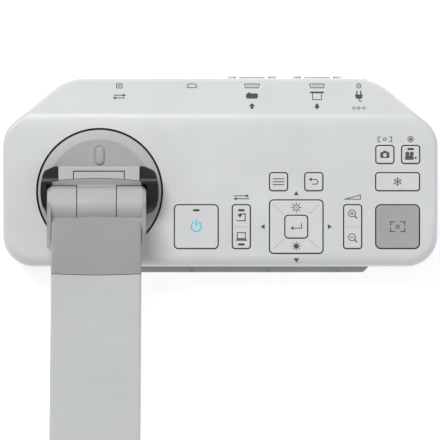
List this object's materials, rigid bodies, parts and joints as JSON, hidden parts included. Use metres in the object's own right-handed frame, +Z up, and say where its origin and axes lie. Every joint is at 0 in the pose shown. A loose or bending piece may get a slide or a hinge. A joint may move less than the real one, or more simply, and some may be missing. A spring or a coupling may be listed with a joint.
{
  "type": "document camera",
  "caption": "Desktop document camera: key console with rear sockets, turntable and a folding two-part arm that holds a lens head over the desk.",
  "frame": {"origin": "table level, at the middle of the whole object's footprint with the arm reaching forward", "axes": "+Z up from the table, +X along the console to the right, +Y to the console's rear; the arm reaches towards -Y"},
  "size_m": [0.27, 0.467, 0.3194],
  "materials": {
    "light_plastic": "fine-textured moulded cool light grey",
    "arm_plastic": "fine-textured moulded light grey",
    "hinge_plastic": "fine-textured moulded grey",
    "grey_plastic": "fine-textured moulded mid grey",
    "dark_plastic": "textured mid grey",
    "black_plastic": "satin black",
    "rubber": "matt rubber",
    "steel": "zinc-plated",
    "alloy": "pressed and die-cast alloy",
    "nickel": "nickel-plated tin",
    "board": "green solder mask",
    "lens_glass": "coated lens",
    "diffuser": "milky diffuser"
  },
  "bodies": {
    "base": {"base_top_cover": "light_plastic", "base_bottom_case": "dark_plastic", "foot_left_front": "rubber", "foot_right_front": "rubber", "foot_left_rear": "rubber", "foot_right_rear": "rubber", "ballast_plate": "steel", "key_board": "board", "main_board": "board", "vga_out_port": "nickel", "vga_in_port": "nickel", "usb_b_port": "nickel", "hdmi_port": "nickel", "dc_jack": "black_plastic", "turret_seat": "black_plastic"},
    "turret": {"turret_disc": "hinge_plastic", "turret_keeper": "alloy", "hinge_centre_knuckle": "hinge_plastic", "hinge_housing": "hinge_plastic", "hinge_cap_left": "black_plastic", "hinge_cap_right": "black_plastic", "shoulder_pin": "steel"},
    "release_tab": {"release_tab": "hinge_plastic"},
    "lower_arm": {"arm_yoke": "hinge_plastic", "arm_collar": "grey_plastic", "lower_arm_shell": "arm_plastic", "lower_arm_cover": "arm_plastic", "lower_arm_spine": "alloy", "elbow_fork": "arm_plastic", "elbow_pin": "steel"},
    "upper_arm": {"elbow_knuckle": "arm_plastic", "upper_arm_shell": "arm_plastic", "upper_arm_cover": "arm_plastic", "upper_arm_spine": "alloy", "head_hinge_barrel": "arm_plastic", "head_pin": "steel"},
    "head": {"head_bracket": "arm_plastic", "head_top_shell": "light_plastic", "head_bottom_shell": "light_plastic", "lens_barrel": "black_plastic", "front_lens": "lens_glass", "camera_module": "alloy", "lamp_board": "board", "lamp_window": "diffuser"},
    "lamp_switch": {"lamp_switch": "black_plastic"},
    "power_key": {"power_key": "light_plastic"},
    "menu_key": {"menu_key": "light_plastic"},
    "escape_key": {"escape_key": "light_plastic"},
    "focus_key": {"focus_key": "grey_plastic"},
    "freeze_key": {"freeze_key": "light_plastic"},
    "capture_key": {"capture_key": "light_plastic"},
    "record_key": {"record_key": "light_plastic"},
    "enter_key": {"enter_key": "light_plastic"},
    "source_rocker": {"source_rocker": "light_plastic"},
    "zoom_rocker": {"zoom_rocker": "light_plastic"},
    "four_way_gimbal": {"four_way_gimbal": "light_plastic"},
    "four_way_key": {"four_way_key": "light_plastic"}
  },
  "joints": [
    {"name": "arm_swivel", "type": "hinge", "parent": "base", "child": "turret", "pos_m": [-0.0749, 0.16178, 0.05], "axis": [0, 0, 1], "range_deg": [-90, 90]},
    {"name": "release_press", "type": "slide", "parent": "turret", "child": "release_tab", "axis": [0, 0, -1], "range_m": [0, 0.0015], "stiffness_N_per_m": 600, "springref_m": -0.0003},
    {"name": "shoulder", "type": "hinge", "parent": "turret", "child": "lower_arm", "pos_m": [-0.0766, 0.15218, 0.066], "axis": [-1, 0, 0], "range_deg": [-40, 45]},
    {"name": "elbow", "type": "hinge", "parent": "lower_arm", "child": "upper_arm", "pos_m": [-0.0766, -0.01173, 0.26134], "axis": [1, 0, 0], "range_deg": [-33, 97]},
    {"name": "head_tilt", "type": "hinge", "parent": "upper_arm", "child": "head", "pos_m": [-0.0766, -0.15518, 0.3052], "axis": [-1, 0, 0], "range_deg": [-60, 90]},
    {"name": "lamp_slide", "type": "slide", "parent": "head", "child": "lamp_switch", "axis": [0, -1, 0], "range_m": [-0.001, 0.001]},
    {"name": "power_press", "type": "slide", "parent": "base", "child": "power_key", "axis": [0, 0, -1], "range_m": [0, 0.001], "stiffness_N_per_m": 500, "springref_m": -0.0004},
    {"name": "menu_press", "type": "slide", "parent": "base", "child": "menu_key", "axis": [0, 0, -1], "range_m": [0, 0.001], "stiffness_N_per_m": 350, "springref_m": -0.0004},
    {"name": "escape_press", "type": "slide", "parent": "base", "child": "escape_key", "axis": [0, 0, -1], "range_m": [0, 0.001], "stiffness_N_per_m": 350, "springref_m": -0.0004},
    {"name": "focus_press", "type": "slide", "parent": "base", "child": "focus_key", "axis": [0, 0, -1], "range_m": [0, 0.001], "stiffness_N_per_m": 500, "springref_m": -0.0004},
    {"name": "freeze_press", "type": "slide", "parent": "base", "child": "freeze_key", "axis": [0, 0, -1], "range_m": [0, 0.001], "stiffness_N_per_m": 350, "springref_m": -0.0004},
    {"name": "capture_press", "type": "slide", "parent": "base", "child": "capture_key", "axis": [0, 0, -1], "range_m": [0, 0.001], "stiffness_N_per_m": 350, "springref_m": -0.0004},
    {"name": "record_press", "type": "slide", "parent": "base", "child": "record_key", "axis": [0, 0, -1], "range_m": [0, 0.001], "stiffness_N_per_m": 350, "springref_m": -0.0004},
    {"name": "enter_press", "type": "slide", "parent": "base", "child": "enter_key", "axis": [0, 0, -1], "range_m": [0, 0.001], "stiffness_N_per_m": 350, "springref_m": -0.0004},
    {"name": "source_rock", "type": "hinge", "parent": "base", "child": "source_rocker", "pos_m": [0.0131, 0.13988, 0.045], "axis": [1, 0, 0], "range_deg": [-2.5, 2.5], "stiffness_Nm_per_rad": 0.3},
    {"name": "zoom_rock", "type": "hinge", "parent": "base", "child": "zoom_rocker", "pos_m": [0.0822, 0.13988, 0.045], "axis": [1, 0, 0], "range_deg": [-2.5, 2.5], "stiffness_Nm_per_rad": 0.3},
    {"name": "four_way_pitch", "type": "hinge", "parent": "base", "child": "four_way_gimbal", "pos_m": [0.0472, 0.13988, 0.045], "axis": [1, 0, 0], "range_deg": [-2.5, 2.5], "stiffness_Nm_per_rad": 0.4},
    {"name": "four_way_roll", "type": "hinge", "parent": "four_way_gimbal", "child": "four_way_key", "pos_m": [0.0472, 0.13988, 0.045], "axis": [0, 1, 0], "range_deg": [-2.5, 2.5], "stiffness_Nm_per_rad": 0.4}
  ]
}
